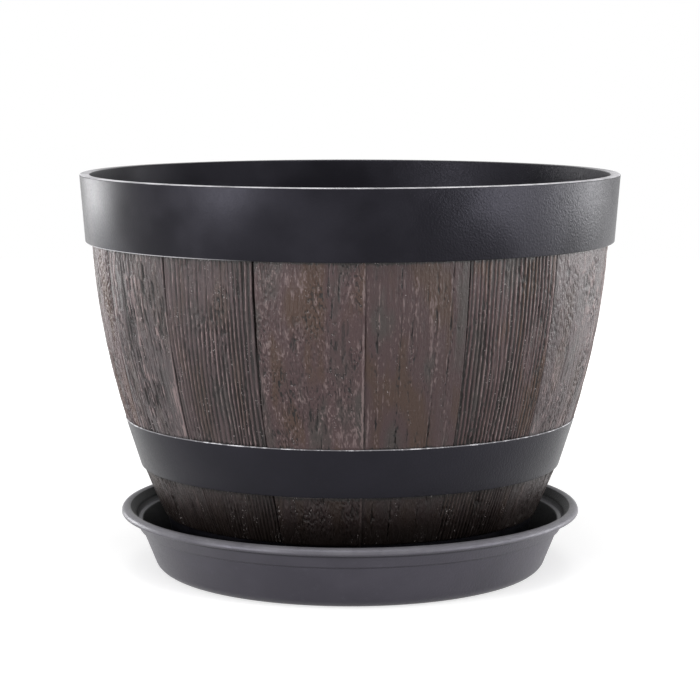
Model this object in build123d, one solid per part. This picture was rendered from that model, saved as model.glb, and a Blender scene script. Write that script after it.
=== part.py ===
from build123d import *
import math
import os

# A moulded barrel planter, 230 mm across, standing in its loose saucer.
# Millimetres, +Z up. The origin is on the common axis, in the plane that the saucer's foot stands on.
# -Y is the side that faces the viewer.

# Barrel pot, with heights measured from its own foot
pot_height = 165.6
rim_outer_r = 115.0
rim_width = 4.25
rim_edge = 0.7
stave_wall_top_r = 109.9
stave_wall_bottom_r = 80.0
stave_wall_bow = 5.8
wall_thickness = 2.6
stave_bottom_height = 20.0
foot_outer_r = 75.0
foot_shoulder = 0.8
foot_edge = 0.6
inside_corner_flat = 4.0

# Imitation iron bands, moulded in one with the wall
top_band_height = 28.6
top_band_proud = 2.85
collar_shoulder_rise = 3.0
low_band_bottom_height = 41.4
low_band_height = 20.6
low_band_proud_bottom = 1.0
low_band_proud_top = 0.4
band_edge = 0.3

# Stave seams, as angles from the viewer's side, positive towards +X
stave_count = 16
front_seams_deg = (-42.3, -19.9, 3.1, 25.2, 48.7, 74.6)
seam_width = 1.3
seam_depth = 0.7
seam_overlap = 0.3

# Base of the pot
base_thickness = 2.6
base_rise = 3.0
foot_ring_width = 4.0
drain_hole_count = 8
drain_hole_r = 5.0
drain_circle_r = 50.0
drain_notch_width = 8.0
drain_notch_height = 1.6
base_rib_thickness = 1.6
base_rib_clearance = 0.6
base_hub_r = 16.0
base_hub_width = 2.0

# The sprue marks under the middle of both mouldings
sprue_mark_r = 3.0
sprue_mark_depth = 0.6

# Saucer, which starts from the clearance round the pot's foot and widens upwards
saucer_clearance = 7.0
saucer_height = 27.7
saucer_wall_slope = 0.40
saucer_wall_thickness = 1.8
saucer_corner_round = 6.0
saucer_step = 1.2
saucer_step_height = 0.4
saucer_collar_height = 5.6
saucer_collar_flare = 2.6
saucer_collar_thickness = 1.4
saucer_lip_depth = 3.7
saucer_lip_under_width = 1.8
saucer_lip_overhang = 5.0
saucer_rim_width = 3.3
saucer_rim_face = 1.3
saucer_rim_edge = 0.5
saucer_lip_inner_drop = 2.9
saucer_ledge_drop = 5.7
saucer_foot_recess = 1.0
saucer_foot_width = 4.0

# Ribs on the saucer's floor that keep the pot above the water
floor_rib_count = 12
floor_rib_height = 2.0
floor_rib_width = 2.0
floor_rib_reach = 1.5
floor_ring_r = 22.0

# Heights where the pieces meet
saucer_floor_height = saucer_foot_recess + saucer_wall_thickness
pot_seat_height = saucer_floor_height + floor_rib_height
top_band_bottom_height = pot_height - top_band_height
saucer_lip_height = saucer_height - saucer_lip_depth
saucer_collar_bottom_height = saucer_lip_height - saucer_collar_height
saucer_step_bottom_height = saucer_collar_bottom_height - saucer_step_height
low_band_top_height = low_band_bottom_height + low_band_height
base_top_height = base_rise + base_thickness

# The stave wall is an arc, in the section, that bows outwards from its chord
chord_r = stave_wall_top_r - stave_wall_bottom_r
chord_z = top_band_bottom_height - stave_bottom_height
chord = math.hypot(chord_r, chord_z)
bow_r = (chord**2 / 4 + stave_wall_bow**2) / (2 * stave_wall_bow)
bow_inset = bow_r - stave_wall_bow
bow_centre_r = (stave_wall_top_r + stave_wall_bottom_r) / 2 - bow_inset * chord_z / chord
bow_centre_z = (top_band_bottom_height + stave_bottom_height) / 2 + bow_inset * chord_r / chord


def wall_r(height, inset=0.0):
    """Radius of the bowed wall at a height, or of a face that lies inset inside it."""
    return bow_centre_r + math.sqrt((bow_r - inset) ** 2 - (height - bow_centre_z) ** 2)


def wall_arc(low, high, inset=0.0):
    """The bowed wall's arc in a section between two heights."""
    middle = (low + high) / 2
    points = [(wall_r(height, inset), height) for height in (low, middle, high)]
    return ThreePointArc(*points)


def nearest_vertex(face, corner):
    """The section's vertex at a corner."""
    return face.vertices().sort_by_distance(Vector(*corner))[0]


def rounded(face, corner, size):
    """The section with a corner rounded."""
    return fillet(nearest_vertex(face, corner), size)


def eased(face, corners, size):
    """The section with its sharp corners eased by a small flat."""
    for corner in corners:
        face = chamfer(nearest_vertex(face, corner), size)
    return face


def turned(face):
    """The solid that a section makes when it is turned round the axis."""
    return revolve(Plane.XZ * face, Axis.Z)


def around(shape, count, start=0.0):
    """Evenly spaced copies of a shape round the axis."""
    return [Rot(Z=start + 360 * index / count) * shape for index in range(count)]


def cone_r(height):
    """Outer radius of the plain foot below the staves."""
    top_r = stave_wall_bottom_r - foot_shoulder
    return foot_outer_r + (top_r - foot_outer_r) * height / stave_bottom_height


def pot_shell():
    """Foot, bowed wall and collar: one wall of even thickness."""
    collar_bottom_r = stave_wall_top_r + top_band_proud
    shoulder_height = top_band_bottom_height - collar_shoulder_rise
    foot = (foot_outer_r, 0)
    foot_inner = (foot_outer_r - foot_ring_width, 0)
    stave_end = (stave_wall_bottom_r, stave_bottom_height)
    band_corner = (collar_bottom_r, top_band_bottom_height)
    rim_outer = (rim_outer_r, pot_height)
    rim_inner = (rim_outer_r - rim_width, pot_height)
    floor_corner = (cone_r(base_top_height) - wall_thickness, base_top_height)
    outside = Polyline(foot_inner, foot, (cone_r(stave_bottom_height), stave_bottom_height), stave_end)
    outside += wall_arc(stave_bottom_height, top_band_bottom_height)
    outside += Polyline((stave_wall_top_r, top_band_bottom_height), band_corner, rim_outer, rim_inner)
    inner_low_r = wall_r(stave_bottom_height, wall_thickness)
    inside = Polyline(
        rim_inner,
        (collar_bottom_r - rim_width, top_band_bottom_height),
        (wall_r(shoulder_height, wall_thickness), shoulder_height),
    )
    inside += wall_arc(stave_bottom_height, shoulder_height, wall_thickness)
    inside += Polyline(
        (inner_low_r, stave_bottom_height),
        floor_corner,
        (0, base_top_height),
        (0, base_rise),
        (foot_inner[0], base_rise),
        foot_inner,
    )
    face = make_face(outside.edges() + inside.edges())
    face = eased(face, [rim_outer, rim_inner], rim_edge)
    face = eased(face, [band_corner], band_edge)
    face = eased(face, [foot], foot_edge)
    face = eased(face, [floor_corner], inside_corner_flat)
    return turned(face)


def seam_angles():
    """Seam angles: measured on the front, and sharing the rest of the round evenly behind."""
    hidden_count = stave_count - len(front_seams_deg)
    hidden_span = 360 - front_seams_deg[-1] + front_seams_deg[0]
    step = hidden_span / (hidden_count + 1)
    hidden = [front_seams_deg[-1] + step * (index + 1) for index in range(hidden_count)]
    return list(front_seams_deg) + hidden


def stave_seam():
    """The V groove between two staves. It follows the bow of the wall on the +X side."""
    half = seam_width / 2 * (1 + seam_overlap / seam_depth)
    groove = Polyline(
        (bow_r - seam_depth, 0),
        (bow_r + seam_overlap, half),
        (bow_r + seam_overlap, -half),
        (bow_r - seam_depth, 0),
    )
    # The V is drawn level with the bow's centre, square to the wall, and swings round that centre
    level = Plane(origin=(bow_centre_r, 0, bow_centre_z), x_dir=(1, 0, 0), z_dir=(0, 0, 1))
    hinge = Axis((bow_centre_r, 0, bow_centre_z), (0, 1, 0))
    top_angle = math.degrees(math.asin((bow_centre_z - top_band_bottom_height) / bow_r))
    low_angle = math.degrees(math.asin((bow_centre_z - stave_bottom_height) / bow_r))
    start = (level * make_face(groove.edges())).rotate(hinge, top_angle - 1)
    swing = revolve(start, hinge, low_angle - top_angle + 2)
    reach = 2 * rim_outer_r
    staves = Box(reach, reach, chord_z, align=(Align.CENTER, Align.CENTER, Align.MIN))
    return swing & (Pos(Z=stave_bottom_height) * staves)


def low_band():
    """The lower band, which covers the seams."""
    bottom_r = wall_r(low_band_bottom_height)
    top_r = wall_r(low_band_top_height)
    bottom = (bottom_r + low_band_proud_bottom, low_band_bottom_height)
    top = (top_r + low_band_proud_top, low_band_top_height)
    root = wall_thickness / 2
    face = make_face(
        Polyline(
            (bottom_r - root, low_band_bottom_height),
            bottom,
            top,
            (top_r - root, low_band_top_height),
            (bottom_r - root, low_band_bottom_height),
        ).edges()
    )
    return turned(eased(face, [bottom], band_edge))


def base_ribs():
    """Stiffening ribs and a hub ring under the raised base, clear of what the foot stands on."""
    depth = base_rise - base_rib_clearance
    length = foot_outer_r - foot_ring_width / 2 - base_hub_r
    rib = Box(length, base_rib_thickness, depth, align=(Align.MIN, Align.CENTER, Align.MIN))
    rib = Pos(base_hub_r, 0, base_rib_clearance) * rib
    hub = Cylinder(base_hub_r + base_hub_width / 2, depth, align=(Align.CENTER, Align.CENTER, Align.MIN))
    hub -= Cylinder(base_hub_r - base_hub_width / 2, depth, align=(Align.CENTER, Align.CENTER, Align.MIN))
    return [Pos(Z=base_rib_clearance) * hub] + around(rib, drain_hole_count)


def drain_holes():
    """Round holes through the raised base, midway between its ribs."""
    hole = Pos(drain_circle_r, 0, base_rise + base_thickness / 2) * Cylinder(drain_hole_r, 2 * base_thickness)
    return around(hole, drain_hole_count, 180 / drain_hole_count)


def drain_notches():
    """Notches under the foot ring that let water out on a flat floor."""
    notch = Box(
        2 * foot_ring_width,
        drain_notch_width,
        2 * drain_notch_height,
    )
    notch = Pos(foot_outer_r - foot_ring_width / 2, 0, 0) * notch
    return around(notch, drain_hole_count, 180 / drain_hole_count)


def sprue_mark(height):
    """The small round dimple that the sprue leaves under the middle of a moulding."""
    return Pos(Z=height) * Cylinder(sprue_mark_r, 2 * sprue_mark_depth)


def barrel_pot():
    """The whole pot, one moulding, standing on the saucer's ribs."""
    pot = pot_shell()
    seam = stave_seam()
    # A seam at 0 degrees faces the viewer, who is on the -Y side
    pot -= [Rot(Z=angle - 90) * seam for angle in seam_angles()]
    pot += low_band()
    pot += base_ribs()
    pot -= drain_holes()
    pot -= drain_notches()
    pot -= sprue_mark(base_rise)
    return Pos(Z=pot_seat_height) * pot


def saucer_wall_r(height, inset=0.0):
    """Outer radius of the saucer's lower wall, or of a face that lies inset inside it."""
    skew = math.hypot(1, saucer_wall_slope)
    floor_r = foot_outer_r + saucer_clearance + saucer_wall_thickness * skew
    return floor_r + saucer_wall_slope * (height - saucer_floor_height) - inset * skew


def saucer_collar_r(height):
    """Outer radius of the collar between the saucer's step and its lip."""
    bottom_r = saucer_wall_r(saucer_step_bottom_height) + saucer_step
    rise = (height - saucer_collar_bottom_height) / saucer_collar_height
    return bottom_r + saucer_collar_flare * rise


def saucer_shell():
    """Floor, foot ring, stepped wall and rolled lip of the saucer."""
    collar_top_r = saucer_collar_r(saucer_lip_height)
    rim_outer_r = collar_top_r + saucer_lip_overhang
    ledge_height = saucer_height - saucer_ledge_drop
    corner = (saucer_wall_r(0), 0)
    # A round of this wall's corner starts a little over two thirds of its radius from the sharp one
    run = math.tan((math.pi / 2 - math.atan(saucer_wall_slope)) / 2)
    foot_inner_r = corner[0] - saucer_corner_round * run - saucer_foot_width
    floor_corner = (saucer_wall_r(saucer_floor_height, saucer_wall_thickness), saucer_floor_height)
    rim_outer = (rim_outer_r, saucer_height)
    rim_inner = (rim_outer_r - saucer_rim_width, saucer_height)
    rim_under = (rim_outer_r, saucer_height - saucer_rim_face)
    outline = Polyline(
        (0, saucer_foot_recess),
        (foot_inner_r, saucer_foot_recess),
        (foot_inner_r, 0),
        corner,
        (saucer_wall_r(saucer_step_bottom_height), saucer_step_bottom_height),
        (saucer_collar_r(saucer_collar_bottom_height), saucer_collar_bottom_height),
        (collar_top_r, saucer_lip_height),
        (collar_top_r + saucer_lip_under_width, saucer_lip_height),
        rim_under,
        rim_outer,
        rim_inner,
        (collar_top_r - saucer_collar_thickness, saucer_height - saucer_lip_inner_drop),
        (saucer_collar_r(ledge_height) - saucer_collar_thickness, ledge_height),
        (saucer_wall_r(ledge_height, saucer_wall_thickness), ledge_height),
        floor_corner,
        (0, saucer_floor_height),
        (0, saucer_foot_recess),
    )
    face = make_face(outline.edges())
    face = rounded(face, corner, saucer_corner_round)
    face = eased(face, [floor_corner], (saucer_corner_round - saucer_wall_thickness) * run)
    face = eased(face, [rim_outer, rim_inner, rim_under], saucer_rim_edge)
    return turned(face)


def floor_ribs():
    """Radial ribs and a ring on the saucer's floor. The pot's foot stands on the ribs."""
    length = foot_outer_r + floor_rib_reach - floor_ring_r
    sunk = saucer_wall_thickness / 2
    depth = floor_rib_height + sunk
    rib = Box(length, floor_rib_width, depth, align=(Align.MIN, Align.CENTER, Align.MIN))
    rib = Pos(floor_ring_r, 0, saucer_floor_height - sunk) * rib
    ring = Cylinder(floor_ring_r + floor_rib_width / 2, depth, align=(Align.CENTER, Align.CENTER, Align.MIN))
    ring -= Cylinder(floor_ring_r - floor_rib_width / 2, depth, align=(Align.CENTER, Align.CENTER, Align.MIN))
    return [Pos(Z=saucer_floor_height - sunk) * ring] + around(rib, floor_rib_count)


def saucer():
    """The loose saucer, one moulding."""
    dish = saucer_shell()
    dish += floor_ribs()
    dish -= sprue_mark(saucer_foot_recess)
    return dish


os.makedirs("parts", exist_ok=True)
export_step(barrel_pot(), "parts/barrel_pot.step")
export_step(saucer(), "parts/saucer.step")
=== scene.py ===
"""A moulded barrel planter with wood-effect staves, standing in its loose saucer."""

import logging
import math
from collections.abc import Callable, Sequence
from dataclasses import dataclass, field
from enum import Enum

import bmesh
import bpy
import numpy as np
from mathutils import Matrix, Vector


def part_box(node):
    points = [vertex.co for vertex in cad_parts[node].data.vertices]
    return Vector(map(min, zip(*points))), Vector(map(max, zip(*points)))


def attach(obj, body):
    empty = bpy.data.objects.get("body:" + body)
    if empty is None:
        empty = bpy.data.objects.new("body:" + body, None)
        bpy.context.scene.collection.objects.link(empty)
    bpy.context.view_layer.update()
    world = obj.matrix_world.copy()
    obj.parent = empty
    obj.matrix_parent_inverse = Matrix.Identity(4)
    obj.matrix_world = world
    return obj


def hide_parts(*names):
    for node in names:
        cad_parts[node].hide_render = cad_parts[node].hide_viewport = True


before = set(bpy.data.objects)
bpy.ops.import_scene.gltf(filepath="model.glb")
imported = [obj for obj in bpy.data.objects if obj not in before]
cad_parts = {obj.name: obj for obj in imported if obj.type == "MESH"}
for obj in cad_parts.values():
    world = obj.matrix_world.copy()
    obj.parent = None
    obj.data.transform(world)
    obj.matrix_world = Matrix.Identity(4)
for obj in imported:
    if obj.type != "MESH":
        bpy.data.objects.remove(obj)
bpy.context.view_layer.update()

# Sections are drawn in millimetres, as (radius, height), and everything in Blender is in metres
MM = 0.001
ROUND_STEPS = 256

Point = tuple[float, float]
Span = tuple[float, float]
Colour = tuple[float, float, float]
Cells = tuple[float, float, float]
Crack = tuple[float, float, float]
Piece = bpy.types.Object
Socket = bpy.types.NodeSocket

log = logging.getLogger("planter")


# Modelling by hand

def deselect_all() -> None:
    """Leave nothing selected, in edit mode or in object mode."""
    if bpy.context.mode == "EDIT_MESH":
        bpy.ops.mesh.select_all(action="DESELECT")
    else:
        bpy.ops.object.select_all(action="DESELECT")


def make_active(piece: Piece) -> None:
    """Select one object alone and make it the active one.

    Args:
        piece: the object that the next operators work on.
    """
    bpy.ops.object.select_all(action="DESELECT")
    piece.select_set(True)
    bpy.context.view_layer.objects.active = piece


def select_where(piece: Piece, wanted: Callable[[Vector], bool]) -> int:
    """Select the vertices of the mesh being edited by their place.

    Args:
        piece: the object in edit mode.
        wanted: says of a vertex's place whether it is selected.

    Returns:
        How many vertices are selected.
    """
    deselect_all()
    shape = bmesh.from_edit_mesh(piece.data)
    for vertex in shape.verts:
        vertex.select = wanted(vertex.co)
    shape.select_flush(True)
    bmesh.update_edit_mesh(piece.data)
    return sum(vertex.select for vertex in shape.verts)


def read_points(mesh: bpy.types.Mesh) -> np.ndarray:
    """Read where the mesh's vertices are.

    Args:
        mesh: the mesh.

    Returns:
        The vertices as rows of x, y and z.
    """
    points = np.empty(len(mesh.vertices) * 3, np.float32)
    mesh.vertices.foreach_get("co", points)
    return points.reshape(-1, 3).astype(float)


def write_points(mesh: bpy.types.Mesh, points: np.ndarray) -> None:
    """Put the mesh's vertices at rows of x, y and z."""
    mesh.vertices.foreach_set("co", points.astype(np.float32).ravel())
    mesh.update()


def write_numbers(mesh: bpy.types.Mesh, name: str, values: object) -> None:
    """Give the mesh's vertices numbers that its material reads.

    Args:
        mesh: the mesh.
        name: what the numbers are called.
        values: a number for each vertex, or one for all of them.
    """
    attribute = mesh.attributes.new(name, "FLOAT", "POINT")
    spread = np.broadcast_to(values, len(mesh.vertices))
    attribute.data.foreach_set("value", spread.astype(np.float32))


def dress(pieces: Sequence[Piece], material: bpy.types.Material, crease_deg: float) -> list[Piece]:
    """Shade finished pieces smooth, apart from their sharp edges, and give them their material.

    Args:
        pieces: the pieces.
        material: the material that they share.
        crease_deg: the angle between faces from which an edge stays sharp.

    Returns:
        The same pieces.
    """
    for piece in pieces:
        make_active(piece)
        bpy.ops.object.shade_smooth_by_angle(angle=math.radians(crease_deg))
        piece.data.materials.append(material)
    return list(pieces)


class Section:
    """A section drawn edge by edge in the XZ plane, then turned round the Z axis."""

    def __init__(self, name: str, start: Point) -> None:
        """Start a new piece with one vertex.

        Args:
            name: the piece's name.
            start: the section's first corner.
        """
        deselect_all()
        bpy.ops.mesh.primitive_plane_add(size=1)
        self.piece = bpy.context.object
        self.piece.name = name
        self.piece.data.name = name
        bpy.ops.object.mode_set(mode="EDIT")
        bpy.ops.mesh.select_mode(type="VERT")
        bpy.ops.mesh.merge(type="COLLAPSE")
        bpy.ops.transform.translate(value=(start[0] * MM, 0, start[1] * MM))
        self.pen = start

    def line(self, *corners: Point) -> "Section":
        """Draw straight edges from corner to corner.

        Args:
            corners: the corners, in order.

        Returns:
            The section itself.
        """
        for corner in corners:
            step = ((corner[0] - self.pen[0]) * MM, 0, (corner[1] - self.pen[1]) * MM)
            bpy.ops.mesh.extrude_region_move(TRANSFORM_OT_translate={"value": step})
            self.pen = corner
        return self

    def swing(self, centre: Point, to_height: float, steps: int) -> "Section":
        """Draw an arc on the outer side of a centre, up or down to a height.

        Args:
            centre: the arc's centre.
            to_height: the height at which the arc ends.
            steps: how many edges make the arc.

        Returns:
            The section itself.
        """
        radius = math.dist(self.pen, centre)
        start = math.asin((self.pen[1] - centre[1]) / radius)
        end = math.asin((to_height - centre[1]) / radius)
        pivot = (centre[0] * MM, 0, centre[1] * MM)
        bpy.ops.mesh.spin(steps=steps, angle=end - start, center=pivot, axis=(0, 1, 0))
        self.pen = (centre[0] + radius * math.cos(end), to_height)
        return self

    def close(self) -> "Section":
        """Fill the drawn outline, so that its corners can be eased.

        Returns:
            The section itself.
        """
        bpy.ops.mesh.select_all(action="SELECT")
        bpy.ops.mesh.edge_face_add()
        return self

    def ease(self, corners: Sequence[Point], run: float, steps: int = 3) -> "Section":
        """Round corners of the filled outline.

        Args:
            corners: where the corners are.
            run: how far from the corner the round starts along both edges.
            steps: how many edges make the round.

        Returns:
            The section itself.
        """
        for corner in corners:
            place = Vector((corner[0] * MM, 0, corner[1] * MM))
            found = select_where(self.piece, lambda co: (co - place).length < 0.02 * MM)
            if found != 1:
                raise ValueError(f"{self.piece.name} has {found} corners at {corner}")
            bpy.ops.mesh.bevel(offset=run * MM, segments=steps, affect="VERTICES")
        return self

    def turn(self, steps: int = ROUND_STEPS, angle: float = math.tau) -> Piece:
        """Turn the filled outline round the Z axis, right round or into a closed block.

        Args:
            steps: how many columns of faces the piece has.
            angle: how far it is turned, in radians.

        Returns:
            The finished piece, with its faces outwards.
        """
        right_round = angle == math.tau
        bpy.ops.mesh.select_all(action="SELECT")
        if right_round:
            bpy.ops.mesh.delete(type="ONLY_FACE")
            if select_where(self.piece, lambda co: abs(co.x) < 0.001 * MM):
                bpy.ops.mesh.delete(type="EDGE")
            bpy.ops.mesh.select_all(action="SELECT")
        bpy.ops.mesh.spin(steps=steps, angle=angle, center=(0, 0, 0), axis=(0, 0, 1))
        bpy.ops.mesh.select_all(action="SELECT")
        if right_round:
            bpy.ops.mesh.remove_doubles(threshold=0.001 * MM)
            bpy.ops.mesh.select_all(action="SELECT")
        bpy.ops.mesh.normals_make_consistent(inside=False)
        bpy.ops.object.mode_set(mode="OBJECT")
        return self.piece


def slab(name: str, low: Sequence[float], high: Sequence[float], turn_deg: float, edge: float) -> Piece:
    """A straight rib along +X with bevelled edges, turned round the Z axis.

    Args:
        name: the rib's name.
        low: its lowest corner, in millimetres, before it is turned.
        high: its highest corner, in millimetres.
        turn_deg: the angle that it is turned by.
        edge: the width of its bevels, in millimetres.

    Returns:
        The rib, with its object at the origin.
    """
    deselect_all()
    bpy.ops.mesh.primitive_cube_add(size=1)
    piece = bpy.context.object
    piece.name = name
    bpy.ops.object.mode_set(mode="EDIT")
    bpy.ops.mesh.select_all(action="SELECT")
    size = [(b - a) * MM for a, b in zip(low, high)]
    middle = [(a + b) / 2 * MM for a, b in zip(low, high)]
    bpy.ops.transform.resize(value=size)
    bpy.ops.transform.translate(value=middle)
    bpy.ops.mesh.bevel(offset=edge * MM, segments=2, affect="EDGES")
    bpy.ops.object.mode_set(mode="OBJECT")
    piece.rotation_euler.z = math.radians(turn_deg)
    bpy.ops.object.transform_apply(location=True, rotation=True, scale=True)
    return piece


def join(pieces: Sequence[Piece]) -> Piece:
    """Join several objects into the first one.

    Args:
        pieces: the objects, each with its place in its mesh.

    Returns:
        The first object, which now holds them all.
    """
    make_active(pieces[0])
    for piece in pieces[1:]:
        piece.select_set(True)
    bpy.ops.object.join()
    return pieces[0]


def spokes(name: str, low: Sequence[float], high: Sequence[float], count: int, edge: float) -> Piece:
    """Slabs like the spokes of a wheel, evenly spaced round the Z axis and joined into one piece."""
    return join([slab(name, low, high, 360 * index / count, edge) for index in range(count)])


def cut(piece: Piece, cutters: Sequence[Piece]) -> None:
    """Cut solids out of a piece and delete them.

    Args:
        piece: the piece that is cut.
        cutters: the solids, which don't meet each other.
    """
    tool = join(cutters)
    make_active(piece)
    modifier = piece.modifiers.new("cut", "BOOLEAN")
    modifier.object = tool
    modifier.operation = "DIFFERENCE"
    modifier.solver = "EXACT"
    bpy.ops.object.modifier_apply(modifier=modifier.name)
    bpy.data.objects.remove(tool)


# Finishes

class ShaderGraph:
    """A material's node tree, built node by node."""

    def __init__(self, name: str) -> None:
        """Start a material with its shader and output alone.

        Args:
            name: the material's name.
        """
        self.material = bpy.data.materials.new(name)
        self.material.use_nodes = True
        self.tree = self.material.node_tree
        self.shader = self.tree.nodes["Principled BSDF"]

    def add(
        self, kind: str, settings: dict[str, object] | None = None, **inputs: object
    ) -> bpy.types.Node:
        """Add a node and fill its sockets.

        Args:
            kind: the node's type, without its ShaderNode prefix.
            settings: the node's own properties.
            inputs: a value or an output socket for each input, with underscores for spaces in its name.

        Returns:
            The new node.
        """
        node = self.tree.nodes.new("ShaderNode" + kind)
        for key, value in (settings or {}).items():
            setattr(node, key, value)
        for key, value in inputs.items():
            self.feed(node.inputs[key.replace("_", " ")], value)
        return node

    def feed(self, socket: Socket, value: object) -> None:
        """Give a socket a constant, or link an output to it."""
        if isinstance(value, Socket):
            self.tree.links.new(value, socket)
        else:
            socket.default_value = value

    def attribute(self, name: str) -> Socket:
        """The socket of a number that the mesh holds."""
        return self.add("Attribute", {"attribute_name": name}).outputs["Fac"]

    def math(self, operation: str, first: object, second: object = 0.0) -> Socket:
        """The result of a Math node.

        Args:
            operation: the node's operation.
            first: a value or an output socket.
            second: a value or an output socket.

        Returns:
            The result's socket.
        """
        node = self.tree.nodes.new("ShaderNodeMath")
        node.operation = operation
        self.feed(node.inputs[0], first)
        self.feed(node.inputs[1], second)
        return node.outputs[0]

    def mix(self, share: object, first: object, second: object, blend: str = "MIX") -> Socket:
        """The result of mixing two colours.

        Args:
            share: how much of the second colour shows.
            first: a colour or an output socket.
            second: a colour or an output socket.
            blend: the way they are mixed.

        Returns:
            The mixed colour's socket.
        """
        node = self.tree.nodes.new("ShaderNodeMix")
        node.data_type = "RGBA"
        node.blend_type = blend
        self.feed(node.inputs[0], share)
        for socket, value in ((node.inputs[6], first), (node.inputs[7], second)):
            self.feed(socket, (*value, 1.0) if isinstance(value, tuple) else value)
        return node.outputs[2]

    def step(
        self, value: object, low: float, high: float, start: float = 0.0, end: float = 1.0
    ) -> Socket:
        """A smooth step of a value.

        Args:
            value: the output socket that is read.
            low: the value at which the step starts.
            high: the value at which the step ends.
            start: the result below the step.
            end: the result above the step.

        Returns:
            The result's socket.
        """
        node = self.add("MapRange", {"interpolation_type": "SMOOTHSTEP"}, Value=value)
        for name, number in (("From Min", low), ("From Max", high), ("To Min", start), ("To Max", end)):
            node.inputs[name].default_value = number
        return node.outputs["Result"]

    def noise(
        self, place: object, cells: Sequence[float], detail: float = 2.0, roughness: float = 0.5
    ) -> Socket:
        """Noise whose cells have their own size along each axis.

        Args:
            place: the coordinates' output socket, in metres.
            cells: the size of a cell along each axis, in millimetres.
            detail: how many finer layers are added.
            roughness: how strong the finer layers are.

        Returns:
            The noise's socket, about 0.5 on average.
        """
        scale = tuple(1 / (cell * MM) for cell in cells)
        mapping = self.add("Mapping", Vector=place, Scale=scale)
        node = self.add("TexNoise", Vector=mapping.outputs[0], Scale=1.0)
        node.inputs["Detail"].default_value = detail
        node.inputs["Roughness"].default_value = roughness
        return node.outputs["Fac"]


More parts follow.
